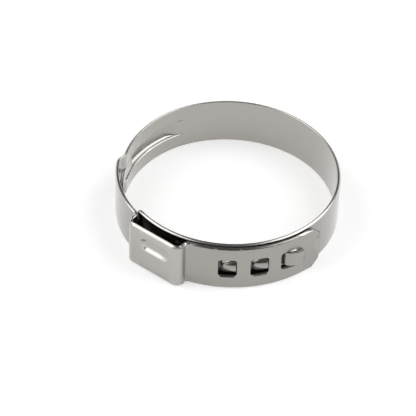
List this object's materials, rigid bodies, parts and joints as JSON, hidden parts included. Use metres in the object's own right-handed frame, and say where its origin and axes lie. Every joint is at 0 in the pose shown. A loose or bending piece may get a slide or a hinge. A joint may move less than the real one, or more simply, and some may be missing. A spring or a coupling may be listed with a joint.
{
  "type": "ear hose clamp",
  "caption": "Stepless ear hose clamp: a flat metal strip bent into a ring, hooked through its own windows, with a raised ear to pinch and a tongue that closes the gap.",
  "frame": {"origin": "on the bore's axis, in the plane of the strip's lower edge, which the clamp lies on", "axes": "+Z along the bore's axis, upwards; -Y from the axis to the middle of the ear; +X towards the windows and hooks"},
  "size_m": [0.0406, 0.0407, 0.009],
  "materials": {
    "strip": "smooth satin stainless strip with bright rounded edges"
  },
  "bodies": {
    "root": {"clamp_band": "strip"}
  },
  "joints": []
}
